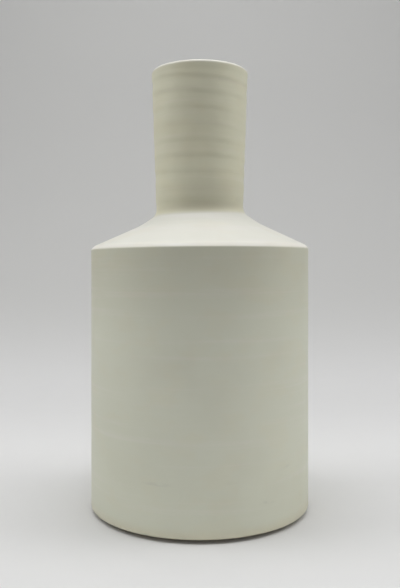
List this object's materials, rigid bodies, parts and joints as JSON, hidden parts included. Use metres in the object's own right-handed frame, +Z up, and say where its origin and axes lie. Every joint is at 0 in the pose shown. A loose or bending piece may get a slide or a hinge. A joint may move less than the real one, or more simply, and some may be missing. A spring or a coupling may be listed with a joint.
{
  "type": "bottle vase",
  "caption": "Glazed stoneware bottle vase with a straight cylindrical body, a sloped shoulder and a slightly flared neck with soft throwing rings, on a bare set-in foot ring.",
  "frame": {"origin": "centre of the plane that the foot ring rests on", "axes": "+Z up along the vase's axis of turning; X and Y are level and interchangeable, with -Y towards the picture's viewer"},
  "size_m": [0.13, 0.13, 0.2606],
  "materials": {
    "glaze": "satin-matt warm white glaze",
    "stoneware": "bare fired stoneware, dry and slightly gritty",
    "slip": "fired joining slip, dry and smooth"
  },
  "bodies": {
    "root": {"foot_base": "stoneware", "body_wall": "stoneware", "shoulder": "stoneware", "neck": "stoneware", "base_slip": "slip", "shoulder_slip": "slip", "neck_slip": "slip", "outer_glaze": "glaze", "inner_glaze": "glaze"}
  },
  "joints": []
}
